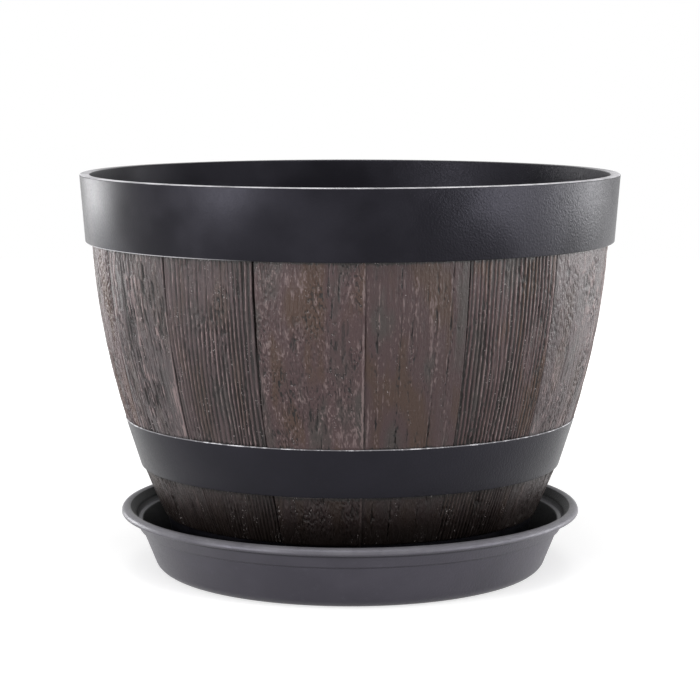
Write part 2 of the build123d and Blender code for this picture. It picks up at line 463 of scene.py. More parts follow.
@dataclass(frozen=True)
class CharcoalMoulding:
    """Bare charcoal plastic with a fine leathery grain, with painted highlights on edges that stand out
    and painted shade in creases.

    Cells, heights and reaches are in millimetres, and what is called a side is in metres.
    """

    name: str
    colour: Colour
    roughness: float
    specular: float = 0.14
    tint: Colour = (0.84, 0.82, 1.0)
    grain_cell: float = 0.85
    grain_depth: float = 0.14
    dust_cell: float = 3.0
    dust_shade: float = 1.9
    cloud_cell: float = 34.0
    cloud_shade: float = 1.35
    blotch: float = 0.0
    # Painted shade inside the saucer's dish: darker colour and duller sheen
    painted_inside_shade: float = 0.10
    painted_shade_dulling: float = 0.9
    # Painted highlights: pale colour along edge heights, in place of light caught by rounded edges
    painted_highlight_heights: tuple[float, ...] = ()
    painted_highlight_reach: float = 0.35
    painted_highlight_colour: Colour = (0.60, 0.59, 0.62)
    painted_highlight_cell: float = 14.0
    painted_highlight_level: Span = (0.25, 0.65)
    painted_highlight_side: Span = (-0.02, 0.06)
    painted_left_highlight_height: float | None = None
    painted_left_highlight_side: Span = (-0.07, -0.035)
    # Painted shade: darker colour along crease heights, where shadow falls
    painted_crease_heights: tuple[float, ...] = ()
    painted_crease_reach: float = 0.5
    painted_crease_share: float = 0.75
    painted_crease_shade: float = 0.15
    full_share: float = 0.4
    smooth_left: bool = False
    smooth_side: Span = (-0.02, 0.03)

    def shade(self, factor: float) -> Colour:
        """The plastic's colour, made lighter or darker by a factor."""
        return tuple(factor * part for part in self.colour)

    def worn(self, graph: ShaderGraph, place: Socket, colour: Socket) -> Socket:
        """Paint pale highlights along edges and dark shade into creases, each within its reach of a
        height.

        Args:
            graph: the material's nodes.
            place: the coordinates on the object.
            colour: the plastic's colour before its painted highlights and shade.

        Returns:
            The colour's socket, with its painted highlights and shade.
        """
        x, y, rise = graph.add("SeparateXYZ", Vector=place).outputs
        # Painted highlights: full on the front (-Y) side, faint behind, broken up by noise
        painted_highlight_mask = graph.noise(place, [self.painted_highlight_cell] * 3, detail=4.0, roughness=0.7)
        painted_highlight_mask = graph.step(painted_highlight_mask, *self.painted_highlight_level, 0.3, 1.0)
        painted_highlight_mask = graph.math("MULTIPLY", painted_highlight_mask, graph.step(y, *self.painted_highlight_side, 1.0, 0.1))
        painted_light_marks = [(height, self.painted_highlight_reach, painted_highlight_mask, self.painted_highlight_colour) for height in self.painted_highlight_heights]
        # A painted highlight along one height, on the left side alone
        if self.painted_left_highlight_height is not None:
            left = graph.step(x, *self.painted_left_highlight_side, 0.8, 0.0)
            painted_light_marks.append((self.painted_left_highlight_height, self.painted_highlight_reach, left, self.painted_highlight_colour))
        # Painted shade along the creases
        dark = self.shade(self.painted_crease_shade)
        painted_light_marks += [(height, self.painted_crease_reach, self.painted_crease_share, dark) for height in self.painted_crease_heights]
        for height, reach, share, shade in painted_light_marks:
            away = graph.math("ABSOLUTE", graph.math("SUBTRACT", rise, height * MM))
            near = graph.step(away, self.full_share * reach * MM, reach * MM, 1.0, 0.0)
            colour = graph.mix(graph.math("MULTIPLY", near, share), colour, shade)
        return colour

    def material(self) -> bpy.types.Material:
        """Build the material.

        Returns:
            The material.
        """
        graph = ShaderGraph(self.name)
        place = graph.add("TexCoord").outputs["Object"]
        grain = graph.noise(place, [self.grain_cell] * 3, detail=3.0, roughness=0.45)
        cloud = graph.noise(place, [self.cloud_cell] * 3, detail=3.0)
        dust = graph.noise(place, [self.dust_cell] * 3, detail=4.0, roughness=0.65)
        # Painted shade: what is marked inside the dish is darkened and its sheen dulled
        inside = graph.attribute("inside")
        colour = graph.mix(graph.step(cloud, 0.35, 0.68), self.colour, self.shade(self.cloud_shade))
        dusty = graph.step(dust, 0.55, 0.8, 0.0, 0.35)
        colour = graph.mix(dusty, colour, self.shade(self.dust_shade))
        colour = graph.mix(inside, self.worn(graph, place, colour), self.shade(self.painted_inside_shade))
        sheen = graph.step(cloud, 0.36, 0.62, 1 - self.blotch, 1 + self.blotch)
        outside = graph.math("SUBTRACT", 1.0, graph.math("MULTIPLY", inside, self.painted_shade_dulling))
        sheen = graph.math("MULTIPLY", sheen, outside)
        rough = graph.math("ADD", graph.step(cloud, 0.3, 0.7, -0.03, 0.05), self.roughness)
        rough = graph.math("ADD", rough, graph.step(grain, 0.35, 0.65, -0.03, 0.03))
        strength = 1.0
        if self.smooth_left:
            x = graph.add("SeparateXYZ", Vector=place).outputs["X"]
            strength = graph.step(x, *self.smooth_side, 0.2, 1.0)
        bump = graph.add("Bump", Height=grain, Strength=strength, Distance=self.grain_depth * MM)
        shader = graph.shader
        graph.feed(shader.inputs["Base Color"], colour)
        graph.feed(shader.inputs["Roughness"], rough)
        graph.feed(shader.inputs["Normal"], bump.outputs[0])
        graph.feed(shader.inputs["Specular IOR Level"], graph.math("MULTIPLY", sheen, self.specular))
        shader.inputs["Specular Tint"].default_value = (*self.tint, 1.0)
        return graph.material


@dataclass(frozen=True)
class DryBrushedStave:
    """Wood-effect moulding: dark in its hollows, dry-brushed mauve brown and grey on what stands up."""

    name: str = "dry_brushed_stave"
    hollow: Colour = (0.0072, 0.0052, 0.0050)
    mauve: Colour = (0.053, 0.0305, 0.0315)
    brown: Colour = (0.053, 0.0290, 0.0210)
    sage: Colour = (0.044, 0.0345, 0.0325)
    ash: Colour = (0.043, 0.0375, 0.0390)
    crest: Colour = (0.165, 0.120, 0.118)
    # Painted glints: pale highlight specks
    painted_glint: Colour = (0.30, 0.27, 0.27)
    # Darker colour at the foot of the staves: thinner paint plus painted shade
    stain_and_painted_shade: Colour = (0.0060, 0.0040, 0.0034)
    fibre_cells: Cells = (0.42, 3.6, 1.0)
    speck_cells: Cells = (0.7, 1.5, 1.0)
    patch_cells: Cells = (12.0, 42.0, 1.0)
    painted_glint_cells: Cells = (0.55, 0.9, 1.0)
    cluster_cells: Cells = (4.0, 12.0, 1.0)
    body_level: Span = (0.20, 0.80)
    crest_level: Span = (1.0, 1.22)
    painted_glint_level: Span = (0.645, 0.70)
    cluster_level: Span = (0.54, 0.64)
    stain_and_shade_heights: Span = (28.0, 45.0)
    stain_and_shade_share: Span = (0.02, 0.27)
    clean_heights: Span = (52.0, 58.0)
    specular: float = 0.28
    bump_depth: float = 0.21

    def material(self) -> bpy.types.Material:
        """Build the material, which reads each stave's own grain map, relief, tone and ash.

        Returns:
            The material.
        """
        graph = ShaderGraph(self.name)
        place = graph.add("UVMap", {"uv_map": "grain"}).outputs[0]
        relief = graph.attribute("relief")
        fibre = graph.noise(place, self.fibre_cells, detail=3.0, roughness=0.6)
        speck = graph.noise(place, self.speck_cells, detail=2.0)
        patch = graph.noise(place, self.patch_cells, detail=2.0)
        shifted = graph.add("Mapping", Vector=place, Location=(3.7, 1.9, 0.0)).outputs[0]
        cover = graph.noise(shifted, self.patch_cells, detail=3.0, roughness=0.6)

        # Paint lies on what stands up, thinner or thicker from place to place
        height = graph.math("ADD", relief, graph.step(fibre, 0.3, 0.7, -0.11, 0.09))
        height = graph.math("ADD", height, graph.step(cover, 0.3, 0.7, -0.12, 0.10))
        body = graph.mix(graph.step(patch, 0.52, 0.66), self.mauve, self.sage)
        body = graph.mix(graph.step(patch, 0.50, 0.36), body, self.brown)
        body = graph.mix(graph.attribute("ash"), body, self.ash)
        colour = graph.mix(graph.step(height, *self.body_level), self.hollow, body)
        colour = graph.mix(graph.step(height, *self.crest_level, 0.0, 0.85), colour, self.crest)

        # Darker towards the foot of the staves: ever less paint, and painted shade from the lower band
        # and the saucer
        coordinates = graph.add("TexCoord").outputs["Object"]
        rise = graph.add("SeparateXYZ", Vector=coordinates).outputs["Z"]
        low, high = (height * MM for height in self.stain_and_shade_heights)
        paint = graph.step(rise, low, high, *self.stain_and_shade_share)
        low, high = (height * MM for height in self.clean_heights)
        paint = graph.math("MAXIMUM", paint, graph.step(rise, low, high))
        colour = graph.mix(paint, self.stain_and_painted_shade, colour)

        # Painted glints: pale highlight specks in clusters, beside pits and grooves
        cluster = graph.step(graph.noise(shifted, self.cluster_cells), *self.cluster_level)
        painted_glint = graph.step(graph.noise(shifted, self.painted_glint_cells, detail=1.0), *self.painted_glint_level)
        painted_glint = graph.math("MULTIPLY", painted_glint, cluster)
        painted_glint = graph.math("MULTIPLY", painted_glint, graph.step(relief, 0.75, 0.95, 1.0, 0.12))
        colour = graph.mix(painted_glint, colour, self.painted_glint)

        tone = graph.attribute("tone")
        grey = graph.add("CombineColor", Red=tone, Green=tone, Blue=tone).outputs[0]
        colour = graph.mix(1.0, colour, grey, "MULTIPLY")
        gloss = graph.step(speck, 0.60, 0.70, 0.0, -0.14)
        rough = graph.math("ADD", graph.step(fibre, 0.3, 0.7, 0.33, 0.50), gloss)
        bumps = graph.math("ADD", fibre, graph.math("MULTIPLY", speck, 0.8))
        bump = graph.add("Bump", Height=bumps, Strength=1.0, Distance=self.bump_depth * MM)
        shader = graph.shader
        graph.feed(shader.inputs["Base Color"], colour)
        graph.feed(shader.inputs["Roughness"], rough)
        graph.feed(shader.inputs["Normal"], bump.outputs[0])
        shader.inputs["Specular IOR Level"].default_value = self.specular
        return graph.material


# The pot

@dataclass(frozen=True)
class BarrelForm:
    """The lines that the parts of the pot share, in millimetres above the saucer's foot."""

    seat: float
    top: float
    rim_r: float
    rim_width: float = 4.25
    band_foot_r: float = 112.75
    top_band_height: float = 28.6
    stave_top_r: float = 109.9
    stave_foot_r: float = 80.0
    stave_foot_rise: float = 20.0
    bow: float = 5.8
    wall: float = 2.6
    low_band_rise: float = 41.4
    low_band_height: float = 20.6

    @property
    def low_band(self) -> Span:
        """Heights of the lower band's two edges."""
        foot = self.seat + self.low_band_rise
        return foot, foot + self.low_band_height

    @property
    def band_foot(self) -> float:
        """Height of the top band's lower edge."""
        return self.top - self.top_band_height

    @property
    def stave_foot(self) -> float:
        """Height of the staves' lower end."""
        return self.seat + self.stave_foot_rise

    @property
    def chord(self) -> Point:
        """Run and rise of the straight line between the staves' ends."""
        return self.stave_top_r - self.stave_foot_r, self.band_foot - self.stave_foot

    @property
    def bow_r(self) -> float:
        """Radius of the bow of the staves, in the section."""
        return (math.hypot(*self.chord) ** 2 / 4 + self.bow**2) / (2 * self.bow)

    @property
    def bow_centre(self) -> Point:
        """Centre of the bow of the staves, in the section.

        Returns:
            Its radius and its height.
        """
        run, rise = self.chord
        inset = (self.bow_r - self.bow) / math.hypot(run, rise)
        middle = ((self.stave_top_r + self.stave_foot_r) / 2, (self.band_foot + self.stave_foot) / 2)
        return middle[0] - inset * rise, middle[1] + inset * run

    def wall_r(self, height: float, inset: float = 0.0) -> float:
        """Radius of the bowed wall at a height, at its face or an inset below it."""
        centre = self.bow_centre
        return centre[0] + math.sqrt((self.bow_r - inset) ** 2 - (height - centre[1]) ** 2)


@dataclass
class TopBand:
    """The wide upper band, one with the collar and the rolled rim."""

    form: BarrelForm
    finish: CharcoalMoulding
    rim_round: float = 0.65
    edge_round: float = 0.45

    def build(self) -> list[Piece]:
        """Model the band and dress it.

        Returns:
            The band.
        """
        form = self.form
        rim = [(form.rim_r, form.top), (form.rim_r - form.rim_width, form.top)]
        foot = (form.band_foot_r, form.band_foot)
        section = Section("top_band", foot)
        section.line(*rim, (form.band_foot_r - form.rim_width, form.band_foot)).close()
        section.ease(rim, self.rim_round, steps=5).ease([foot], self.edge_round)
        return dress([section.turn()], self.finish.material(), 40)


@dataclass
class LowBand:
    """The narrow lower band, which lies over the staves and hardly stands proud at its top."""

    form: BarrelForm
    finish: CharcoalMoulding
    foot_proud: float = 1.0
    top_proud: float = 0.4
    root: float = 1.2
    edge_round: float = 0.3

    def build(self) -> list[Piece]:
        """Model the band and dress it.

        Returns:
            The band.
        """
        low, high = self.form.low_band
        low_r, high_r = self.form.wall_r(low), self.form.wall_r(high)
        foot, top = (low_r + self.foot_proud, low), (high_r + self.top_proud, high)
        section = Section("low_band", foot)
        section.line(top, (high_r - self.root, high), (low_r - self.root, low)).close()
        section.ease([foot], self.edge_round).ease([top], self.edge_round / 2)
        return dress([section.turn()], self.finish.material(), 40)


@dataclass
class PotLining:
    """What carries the staves: inner wall, base with its drain holes, hub ring, and the plain foot."""

    form: BarrelForm
    finish: CharcoalMoulding
    skin_depth: float = 1.1
    shoulder_drop: float = 3.0
    foot_r: float = 75.0
    foot_edge: float = 0.6
    foot_shoulder: float = 0.8
    ring_width: float = 4.0
    base_rise: float = 3.0
    base_thickness: float = 2.6
    corner_round: float = 6.0
    hub_r: float = 16.0
    hub_width: float = 2.0
    rib_clearance: float = 0.6
    rib_thickness: float = 1.6
    rib_overlap: float = 1.0
    hole_count: int = 8
    hole_r: float = 5.0
    hole_circle_r: float = 50.0
    notch_width: float = 8.0
    notch_height: float = 1.6

    def shell(self) -> Piece:
        """Draw the lining's section and turn it.

        Returns:
            The lining, before its holes are cut.
        """
        form = self.form
        base_low = form.seat + self.base_rise
        base_top = base_low + self.base_thickness
        hub_low = form.seat + self.rib_clearance
        cone_top_r = form.stave_foot_r - self.foot_shoulder
        floor_r = self.foot_r + (cone_top_r - self.foot_r) * (base_top - form.seat) / form.stave_foot_rise
        floor_corner = (floor_r - form.wall, base_top)
        foot = (self.foot_r, form.seat)
        shoulder = form.band_foot - self.shoulder_drop
        hidden_top = form.band_foot + 2.0
        section = Section("pot_lining", (form.band_foot_r - form.rim_width, form.band_foot))
        section.line((form.wall_r(shoulder, form.wall), shoulder))
        section.swing(form.bow_centre, form.stave_foot, steps=40)
        section.line(
            floor_corner,
            (0, base_top),
            (0, base_low),
            (self.hub_r - self.hub_width / 2, base_low),
            (self.hub_r - self.hub_width / 2, hub_low),
            (self.hub_r + self.hub_width / 2, hub_low),
            (self.hub_r + self.hub_width / 2, base_low),
            (self.foot_r - self.ring_width, base_low),
            (self.foot_r - self.ring_width, form.seat),
            foot,
            (cone_top_r, form.stave_foot),
            (form.wall_r(form.stave_foot + 1, self.skin_depth), form.stave_foot + 1),
        )
        section.swing(form.bow_centre, hidden_top, steps=40)
        section.close().ease([foot], self.foot_edge).ease([floor_corner], self.corner_round, steps=8)
        return section.turn()

    def ribs(self) -> Piece:
        """The stiffening ribs under the base.

        Returns:
            The ribs, as one piece.
        """
        seat, half = self.form.seat, self.rib_thickness / 2
        low = (self.hub_r, -half, seat + self.rib_clearance)
        high = (self.foot_r - self.ring_width / 2, half, seat + self.base_rise + self.rib_overlap)
        return spokes("base_ribs", low, high, self.hole_count, 0.2)

    def cutters(self) -> list[Piece]:
        """The solids that cut the drain holes and the notches under the foot ring.

        Returns:
            The solids.
        """
        tools = []
        seat, half = self.form.seat, self.notch_width / 2
        level = (seat + self.base_rise + self.base_thickness / 2) * MM
        reach = self.hole_circle_r * MM
        for index in range(self.hole_count):
            turn = 360 * (index + 0.5) / self.hole_count
            angle = math.radians(turn)
            place = (reach * math.cos(angle), reach * math.sin(angle), level)
            deselect_all()
            bpy.ops.mesh.primitive_cylinder_add(
                vertices=40, radius=self.hole_r * MM, depth=4 * self.base_thickness * MM, location=place
            )
            bpy.ops.object.transform_apply(location=True, rotation=True, scale=True)
            tools.append(bpy.context.object)
            low = (self.foot_r - 2 * self.ring_width, -half, seat - self.notch_height)
            high = (self.foot_r + self.ring_width, half, seat + self.notch_height)
            tools.append(slab("notch", low, high, turn, 0.3))
        return tools

    def build(self) -> list[Piece]:
        """Model the lining and its ribs and dress them.

        Returns:
            The lining and the ribs.
        """
        shell = self.shell()
        cut(shell, self.cutters())
        return dress([shell, self.ribs()], self.finish.material(), 35)


class Grain(Enum):
    """What a stave's face was moulded from."""

    DASHED = "fine leaning dashes"
    RIBBED = "straight ridges over deep grooves"
    MOTTLED = "short flakes and pits"
    CRACKED = "smooth, with a few long cracks"


@dataclass(frozen=True)
class Stave:
    """One imitation stave: its grain, how proud it stands, its right edge and its paint."""

    grain: Grain
    proud: float = 0.0
    right_seam: float = 0.7
    right_lip: float = 0.0
    tone: float = 1.0
    ash: float = 0.0
    strength: Span = (1.0, 1.0)
    cracks: tuple[Crack, ...] = ()


def fade(share: np.ndarray) -> np.ndarray:
    """The smooth step of a share from 0 to 1."""
    share = np.clip(share, 0, 1)
    return share * share * (3 - 2 * share)


def hump(away: np.ndarray, reach: float) -> np.ndarray:
    """A bell curve: 1 at no distance, and next to 0 at twice the reach."""
    return np.exp(-((away / reach) ** 2))


@dataclass
class GrainFace:
    """The grid of places on a stave's face, and the reliefs that can be cut into it, in millimetres."""

    across: np.ndarray
    along: np.ndarray
    width: float
    length: float
    seed: int
    ridge_period: float = 2.05
    line_period: float = 1.35
    random: np.random.Generator = field(init=False)

    def __post_init__(self) -> None:
        """Start the stave's own random numbers."""
        self.random = np.random.default_rng(self.seed)

    def noise(self, cell_across: float, cell_along: float, lean: float = 0.0) -> np.ndarray:
        """Smooth noise between -1 and 1.

        Args:
            cell_across: the size of a cell across the stave.
            cell_along: the size of a cell along the stave.
            lean: how far the cells lean, across for each step along.

        Returns:
            The noise at each place.
        """
        x = (self.across + lean * self.along) / cell_across
        y = self.along / cell_along
        x, y = x - x.min(), y - y.min()
        column, row = x.astype(int), y.astype(int)
        lattice = self.random.uniform(-1, 1, (column.max() + 2, row.max() + 2))
        s, t = fade(x - column), fade(y - row)
        low = lattice[column, row] * (1 - s) + lattice[column + 1, row] * s
        high = lattice[column, row + 1] * (1 - s) + lattice[column + 1, row + 1] * s
        return low * (1 - t) + high * t

    def patches(self, cell_across: float, cell_along: float, level: float, contrast: float) -> np.ndarray:
        """Soft patches between 0 and 1, of an average level and a contrast."""
        return np.clip(level + contrast * self.noise(cell_across, cell_along), 0, 1)

    def spots(
        self, cell_across: float, cell_along: float, level: float, run: float, lean: float = 0.0
    ) -> np.ndarray:
        """Spots between 0 and 1, where noise rises past a level, with soft edges that run on."""
        return fade((self.noise(cell_across, cell_along, lean) - level) / run)

    def ribbed(self) -> np.ndarray:
        """Straight ridges, uneven in strength and broken in places, with finer lines between.

        Returns:
            The relief at each place.
        """
        bend = 0.9 * self.noise(9, 60) + 0.5 * self.noise(7, 24) + 0.13 * self.noise(2.4, 6)
        wave = np.cos(2 * np.pi * (self.across + bend) / self.ridge_period)
        fine = np.cos(2 * np.pi * (self.across + 1.3 * bend) / self.line_period)
        groove, ridge = (0.5 + 0.5 * wave) ** 1.35, (0.5 - 0.5 * wave) ** 3
        line = (0.5 + 0.5 * fine) ** 1.6
        strength = self.patches(8, 38, 0.85, 0.6) * self.patches(2.4, 11, 0.9, 0.4)
        flakes = self.spots(0.6, 1.6, 0.08, 0.3) * self.patches(4, 12, 0.2, 0.9)
        fibres = 0.07 * self.noise(0.5, 7) + 0.06 * self.noise(0.5, 1.4)
        grooves = 0.11 * ridge * strength - 0.60 * groove * strength - 0.24 * line * (1 - strength)
        return grooves - 0.34 * flakes + fibres

    def mottled(self) -> np.ndarray:
        """Short flakes and pits, denser in some patches, over a faint lengthwise grain.

        Returns:
            The relief at each place.
        """
        flakes = self.spots(0.5, 1.15, 0.08, 0.26, lean=0.12)
        grooves = self.spots(0.8, 8.0, 0.25, 0.3, lean=-0.04)
        strength = self.patches(6, 12, 0.55, 0.8)
        lumps = 0.06 * self.noise(2.2, 6) + 0.05 * self.noise(1.0, 2.6)
        lumps += 0.09 * self.spots(0.45, 1.0, 0.42, 0.25)
        return -0.27 * flakes * strength - 0.26 * grooves * self.patches(8, 24, 0.35, 0.9) + lumps

    def dashed(self) -> np.ndarray:
        """Fine dashes that lean, with smoother stretches between.

        Returns:
            The relief at each place.
        """
        dashes = self.spots(0.75, 6.0, 0.1, 0.28, lean=0.08)
        flecks = self.spots(0.6, 2.0, 0.1, 0.3, lean=0.20)
        strength = self.patches(8, 34, 0.5, 0.9)
        lumps = 0.05 * self.noise(1.6, 12) + 0.12 * self.spots(0.6, 5.0, 0.3, 0.25, lean=0.08)
        return -0.46 * dashes * strength - 0.28 * flecks * self.patches(6, 12, 0.3, 0.9) + lumps

    def cracked(self, cracks: Sequence[Crack]) -> np.ndarray:
        """A smooth face with fine streaks and a few long, broken cracks with beaded lips.

        Args:
            cracks: each crack's place across the stave, and its lower and upper end, as shares.

        Returns:
            The relief at each place.
        """
        relief = 0.07 * self.noise(0.5, 22) + 0.05 * self.noise(1.4, 34)
        relief += 0.05 * self.noise(0.6, 1.4) - 0.04
        along = self.along / self.length
        for share, low, high in cracks:
            line = share * self.width + 0.35 * self.noise(200, 26) + 0.14 * self.noise(200, 3)
            away = np.abs(self.across - line)
            reach = fade((along - low) / 0.05) * fade((high - along) / 0.05)
            worn = np.clip(0.35 + 1.1 * self.noise(200, 7), 0.05, 1)
            beads = np.clip(0.1 + 1.3 * self.noise(0.8, 1.5), 0, 1)
            relief -= 0.27 * hump(away, 0.32) * reach * worn
            relief += 0.17 * hump(away - 0.65, 0.32) * reach * beads
            relief -= 0.20 * hump(away, 1.3) * reach * self.spots(0.5, 1.6, 0.2, 0.3)
        flakes = self.spots(0.55, 1.5, 0.15, 0.4) * self.patches(3, 12, 0.02, 0.9)
        return relief - 0.24 * flakes

    def relief(self, stave: Stave) -> np.ndarray:
        """The relief of a stave.

        Args:
            stave: the stave.

        Returns:
            The height of each place above the stave's plain face, mostly below 0.
        """
        reliefs = {
            Grain.DASHED: self.dashed,
            Grain.RIBBED: self.ribbed,
            Grain.MOTTLED: self.mottled,
            Grain.CRACKED: lambda: self.cracked(stave.cracks),
        }
        relief = reliefs[stave.grain]()
        left, right = stave.strength
        lip = hump(self.width - self.across - 0.6, 0.45)
        if stave.right_lip > 0:
            relief = relief * (1 - 0.8 * lip)
        relief = relief * (left + (right - left) * self.across / self.width)
        return relief + stave.right_lip * lip * self.patches(300, 9, 0.75, 0.6)


@dataclass
class StaveWall:
    """The ring of staves, each cut with its own grain, between the top band and the foot."""

    form: BarrelForm
    finish: DryBrushedStave
    front_seams_deg: tuple[float, ...] = (-42.3, -19.9, 3.1, 25.2, 48.7, 74.6)
    count: int = 16
    columns: int = 168
    rows: int = 240
    back_rows: int = 10
    depth: float = 1.6
    hidden_rise: float = 0.6
    arris: float = 0.85
    relief_range: float = 0.5
    foot_drop: float = 0.35
    foot_round: float = 0.8
    cover_drop: float = 0.15
    cover_margins: Span = (0.3, 0.2)
    # Painted shade under both bands and on the wood just above the lower band
    painted_crease_shade: float = 0.35
    painted_ledge_shade: float = 0.2
    hidden_level: float = 0.3

    def seams(self) -> list[float]:
        """Seam angles from the viewer's side, measured in front and evenly spaced behind.

        Returns:
            One angle more than there are staves, so that the last one closes the round.
        """
        first, last = self.front_seams_deg[0], self.front_seams_deg[-1]
        hidden_count = self.count - len(self.front_seams_deg)
        step = (360 - last + first) / (hidden_count + 1)
        hidden = [last + step * (index + 1) for index in range(hidden_count)]
        return [*self.front_seams_deg, *hidden, first + 360]

    def staves(self) -> list[Stave]:
        """Say what each stave looks like, from the second one in view onwards.

        Returns:
            The staves, in the order of their seams.
        """
        slits = (
            (0.12, 0.05, 0.9),
            (0.34, 0.0, 1.0),
            (0.45, 0.1, 0.97),
            (0.68, 0.02, 1.0),
            (0.83, 0.52, 1.0),
        )
        others = ((0.2, 0.0, 0.7), (0.5, 0.2, 1.0), (0.72, 0.1, 0.85))
        front = [
            Stave(Grain.RIBBED, tone=1.1, ash=0.4, strength=(0.5, 1.15)),
            Stave(Grain.MOTTLED, proud=0.42, right_seam=0.05, right_lip=0.3, tone=0.87),
            Stave(Grain.CRACKED, cracks=slits, right_seam=0.45, tone=0.77, strength=(1.1, 1.1)),
            Stave(Grain.RIBBED, right_seam=0.5, right_lip=0.2, tone=1.05, strength=(1.0, 1.2)),
            Stave(
                Grain.MOTTLED,
                proud=0.1,
                right_seam=0.9,
                right_lip=0.15,
                tone=1.15,
                ash=0.6,
                strength=(0.7, 1.2),
            ),
        ]
        behind = [
            Stave(Grain.DASHED),
            Stave(Grain.RIBBED, right_seam=0.5),
            Stave(Grain.CRACKED, proud=0.2, cracks=others),
            Stave(Grain.MOTTLED),
            Stave(Grain.RIBBED, proud=0.15, right_seam=0.4),
            Stave(Grain.DASHED),
            Stave(Grain.MOTTLED, proud=0.35, right_seam=0.1),
            Stave(Grain.CRACKED, cracks=slits),
            Stave(Grain.RIBBED, right_seam=0.6),
            Stave(Grain.MOTTLED),
            Stave(Grain.DASHED, right_seam=0.7, right_lip=0.2, tone=1.15, ash=0.7, strength=(1.35, 0.6)),
        ]
        return front + behind

    def blank(self) -> Piece:
        """Model one plain stave as a closed block, its face towards +X.

        Returns:
            The block, which is copied for each stave.
        """
        form = self.form
        top = form.band_foot + self.hidden_rise
        section = Section("stave_blank", (form.wall_r(form.stave_foot), form.stave_foot))
        section.swing(form.bow_centre, top, steps=self.rows)
        section.line((form.wall_r(top, self.depth), top))
        section.swing(form.bow_centre, form.stave_foot, steps=self.back_rows)
        return section.close().turn(self.columns, -math.tau / self.count)

    def seam_depths(self, along: np.ndarray, seam: int, depth: float) -> np.ndarray:
        """How deep a seam is along its length, up to a depth. Both of its staves get the same."""
        profile = GrainFace(np.zeros_like(along), along, 1.0, 1.0, 900 + seam)
        return depth * np.clip(0.65 + 0.75 * profile.noise(1, 30), 0.12, 1)

    def carve(self, blank: Piece, number: int, stave: Stave, left_depth: float) -> Piece:
        """Copy the plain stave, put it in its place and cut its grain.

        Args:
            blank: the plain stave.
            number: the stave's number, from 0.
            stave: what it looks like.
            left_depth: the depth of the seam at its left.

        Returns:
            The finished stave.
        """
        form = self.form
        seams = self.seams()
        name = f"stave_{number + 1:02d}"
        piece = bpy.data.objects.new(name, blank.data.copy())
        piece.data.name = name
        bpy.context.scene.collection.objects.link(piece)
        points = read_points(piece.data) / MM
        radius = np.hypot(points[:, 0], points[:, 1])
        share = np.arctan2(points[:, 1], points[:, 0]) / (math.tau / self.count)
        centre = form.bow_centre
        off_axis = np.stack([radius - centre[0], points[:, 2] - centre[1]], axis=1)
        from_centre = np.hypot(off_axis[:, 0], off_axis[:, 1])
        low_angle = math.asin((form.stave_foot - centre[1]) / form.bow_r)
        along = (np.arcsin(np.clip(off_axis[:, 1] / from_centre, -1, 1)) - low_angle) * form.bow_r
        length = along.max()
        width = math.tau * form.stave_top_r / self.count
        across = share * width
        on_face = from_centre > form.bow_r - 0.01

        face = GrainFace(across[on_face], along[on_face], width, length, 40 + number)
        relief = face.relief(stave)
        left = self.seam_depths(face.along, number, left_depth)
        right = self.seam_depths(face.along, (number + 1) % self.count, stave.right_seam)
        arris_left = np.clip(1 - face.across / self.arris, 0, 1) ** 2
        arris_right = np.clip(1 - (width - face.across) / self.arris, 0, 1) ** 2
        height = relief + stave.proud - left * arris_left - right * arris_right
        height -= self.foot_drop * np.clip(1 - face.along / self.foot_round, 0, 1) ** 2
        level_z = points[on_face, 2]
        band_low, band_high = form.low_band
        covered = level_z > band_low + self.cover_margins[0]
        covered &= level_z < band_high - self.cover_margins[1]
        height = np.where(covered, np.minimum(height, -self.cover_drop), height)

        direction = off_axis / from_centre[:, None]
        lift = np.zeros(len(points))
        lift[on_face] = height
        radius = radius + lift * direction[:, 0]
        rise = points[:, 2] + lift * direction[:, 1]
        angle = np.radians(seams[number] + (seams[number + 1] - seams[number]) * share)
        placed = np.stack([radius * np.sin(angle), -radius * np.cos(angle), rise], axis=1)
        write_points(piece.data, placed * MM)

        # The relief number that the paint colour reads also carries the dark seams, and painted shade
        # under the top band, under the lower band and just above it
        level = np.full(len(points), self.hidden_level)
        under_band = hump(length - face.along - 0.8, 0.9)
        over_band = hump(level_z - band_high - 0.3, 0.5)
        below_band = hump(level_z - band_low + 0.5, 0.7)
        painted_crease_shade = self.painted_crease_shade * np.maximum(under_band, below_band)
        seams_and_painted_shade = left * arris_left + right * arris_right
        seams_and_painted_shade += painted_crease_shade + self.painted_ledge_shade * over_band
        level[on_face] = 1 + (relief - seams_and_painted_shade) / self.relief_range
        labels = {"relief": np.clip(level, 0, 1.2), "tone": stave.tone, "ash": stave.ash}
        for label, values in labels.items():
            write_numbers(piece.data, label, values)
        self.map_grain(piece.data, across + 500 * number, along)
        return piece

    def map_grain(self, mesh: bpy.types.Mesh, across: np.ndarray, along: np.ndarray) -> None:
        """Give a stave its own map, in metres across and along the grain.

        Args:
            mesh: the stave's mesh.
            across: each vertex's place across, in millimetres.
            along: each vertex's place along, in millimetres.
        """
        corners = np.empty(len(mesh.loops), np.int32)
        mesh.loops.foreach_get("vertex_index", corners)
        layer = mesh.uv_layers.new(name="grain")
        flat = np.stack([across[corners], along[corners]], axis=1) * MM
        layer.data.foreach_set("uv", flat.astype(np.float32).ravel())

    def build(self) -> list[Piece]:
        """Model the staves and dress them.

        Returns:
            The staves.
        """
        blank = self.blank()
        staves = self.staves()
        pieces = [
            self.carve(blank, number, stave, staves[number - 1].right_seam)
            for number, stave in enumerate(staves)
        ]
        bpy.data.objects.remove(blank)
        return dress(pieces, self.finish.material(), 80)


# The saucer

